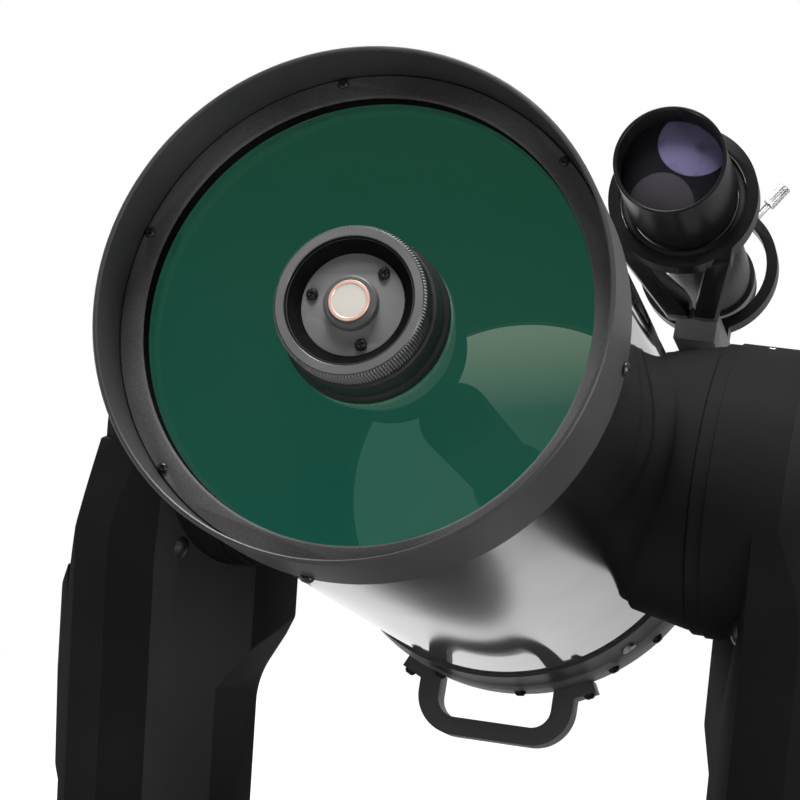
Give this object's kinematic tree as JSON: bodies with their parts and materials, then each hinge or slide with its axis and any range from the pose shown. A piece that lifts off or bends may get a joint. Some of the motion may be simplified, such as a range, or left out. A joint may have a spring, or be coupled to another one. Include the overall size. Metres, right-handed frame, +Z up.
{
  "type": "schmidt cassegrain telescope",
  "caption": "Compact catadioptric telescope with a silver tube, coated front corrector plate and straight finder, hung between two black fork arms on a motorised turntable base.",
  "frame": {"origin": "on the azimuth axis, in the plane of the face that the base stands on, at the mouth of the centre hole", "axes": "+Z up along the azimuth axis, -Y the way the tube looks, +X the side that carries the finder"},
  "size_m": [0.451, 0.5421, 0.657],
  "materials": {
    "tube_silver": "mirror-gloss silver",
    "cell_black": "gloss black paint",
    "ring_grey": "grainy grey paint",
    "corrector_glass": "green coated optical glass",
    "cork": "cork",
    "screw_black": "black oxide",
    "knurl_grey": "brushed grey face",
    "holder_black": "satin black",
    "plate_grey": "satin grey",
    "bright_metal": "bright plated",
    "mirror_coat": "first-surface mirror",
    "steel": "ground steel",
    "brass": "machined",
    "rubber": "matt",
    "finder_black": "satin black paint",
    "finder_glass": "violet coated lens",
    "arm_black": "satin black paint",
    "cover_black": "fine-textured black",
    "knob_black": "ribbed black",
    "base_black": "satin black paint",
    "motor_grey": "grey"
  },
  "bodies": {
    "base": {"drive_base": "base_black", "base_plate": "base_black", "azimuth_bearing": "steel", "azimuth_wheel": "brass", "azimuth_worm": "steel", "azimuth_motor": "motor_grey"},
    "fork": {"fork_cross": "base_black", "azimuth_nut": "steel", "left_arm": "arm_black", "right_arm": "arm_black", "left_arm_cover": "cover_black", "right_arm_cover": "cover_black", "arm_screws": "steel", "altitude_bearings": "steel", "altitude_wheel": "brass", "altitude_worm": "steel", "altitude_motor": "motor_grey"},
    "mirror": {"primary_mirror": "mirror_coat", "mirror_carrier": "plate_grey"},
    "focus": {"focus_knob": "knob_black", "focus_screw": "steel"},
    "eyepiece_clamp": {"eyepiece_screw": "bright_metal"},
    "finder_gimbal": {"finder_o_ring": "rubber"},
    "finder": {"finder_tube": "finder_black", "finder_eyepiece": "holder_black"},
    "finder_objective": {"finder_front_cell": "finder_black", "finder_lens": "finder_glass"},
    "aim_screw_a": {"finder_screw_a": "bright_metal"},
    "aim_screw_b": {"finder_screw_b": "bright_metal"},
    "altitude_clutch": {"altitude_clutch_knob": "knob_black"},
    "azimuth_clutch": {"azimuth_clutch_knob": "knob_black"},
    "rocker": {"power_switch": "knob_black"},
    "tube": {"optical_tube": "tube_silver", "front_cell": "cell_black", "corrector_plate": "corrector_glass", "corrector_spacers": "cork", "retaining_ring": "ring_grey", "retaining_ring_screws": "screw_black", "front_cell_screws": "screw_black", "secondary_flange": "holder_black", "knurled_ring": "knurl_grey", "secondary_holder": "holder_black", "secondary_plate": "plate_grey", "centring_screws": "screw_black", "secondary_cap": "bright_metal", "secondary_baffle": "holder_black", "secondary_mirror": "mirror_coat", "rear_cell": "cell_black", "tube_screws": "screw_black", "rear_plug": "bright_metal", "rear_handle": "knob_black", "baffle_tube": "finder_black", "focus_housing": "cell_black", "eyepiece_holder": "finder_black", "finder_shoe": "finder_black", "finder_bracket": "finder_black", "finder_plunger": "bright_metal", "left_saddle": "arm_black", "right_saddle": "arm_black", "altitude_shafts": "steel"}
  },
  "joints": [
    {"name": "azimuth", "type": "hinge", "parent": "base", "child": "fork", "pos_m": [0, 0, 0.104], "axis": [0, 0, 1], "continuous": true},
    {"name": "altitude", "type": "hinge", "parent": "fork", "child": "tube", "pos_m": [0, 0, 0.43], "axis": [-1, 0, 0], "range_deg": [-24, 66]},
    {"name": "focus_turn", "type": "hinge", "parent": "tube", "child": "focus", "pos_m": [0.04384, 0.13808, 0.32217], "axis": [0, -0.9135, 0.4067], "range_deg": [-2401, 2401]},
    {"name": "mirror_slide", "type": "slide", "parent": "tube", "child": "mirror", "axis": [0, -0.9135, 0.4067], "range_m": [-0.005, 0.005]},
    {"name": "eyepiece_screw_turn", "type": "hinge", "parent": "tube", "child": "eyepiece_clamp", "pos_m": [0, 0.17467, 0.3773], "axis": [0, 0.4067, 0.9135], "continuous": true},
    {"name": "finder_tilt_a", "type": "hinge", "parent": "tube", "child": "finder_gimbal", "pos_m": [0.0832, 0.06648, 0.57686], "axis": [-0.829, 0.2274, 0.5108], "range_deg": [-1.2, 1.2]},
    {"name": "finder_tilt_b", "type": "hinge", "parent": "finder_gimbal", "child": "finder", "pos_m": [0.0832, 0.06648, 0.57686], "axis": [-0.5592, -0.3372, -0.7574], "range_deg": [-1.2, 1.2]},
    {"name": "finder_objective_turn", "type": "hinge", "parent": "finder", "child": "finder_objective", "pos_m": [0.0832, 0.00893, 0.60248], "axis": [0, -0.9135, 0.4067], "continuous": true},
    {"name": "aim_screw_a_slide", "type": "slide", "parent": "tube", "child": "aim_screw_a", "axis": [0.5592, 0.3372, 0.7574], "range_m": [-0.00261, 0.00261]},
    {"name": "aim_screw_b_slide", "type": "slide", "parent": "tube", "child": "aim_screw_b", "axis": [-0.829, 0.2274, 0.5108], "range_m": [-0.00261, 0.00261]},
    {"name": "altitude_clutch_turn", "type": "hinge", "parent": "fork", "child": "altitude_clutch", "pos_m": [0.2, 0, 0.43], "axis": [1, 0, 0], "range_deg": [0, 150]},
    {"name": "azimuth_clutch_turn", "type": "hinge", "parent": "fork", "child": "azimuth_clutch", "pos_m": [0, -0.076, 0.15], "axis": [0, 0, 1], "range_deg": [0, 150]},
    {"name": "power_rocker", "type": "hinge", "parent": "base", "child": "rocker", "pos_m": [0.024, -0.1505, 0.05], "axis": [0, 0, 1], "range_deg": [-12, 12]}
  ],
  "couplings": [
    {"joint": "focus_turn", "follows": "mirror_slide", "rad_per_m": 8377.6},
    {"joint": "aim_screw_a_slide", "follows": "finder_tilt_a", "m_per_rad": -0.124},
    {"joint": "aim_screw_b_slide", "follows": "finder_tilt_b", "m_per_rad": -0.124}
  ]
}
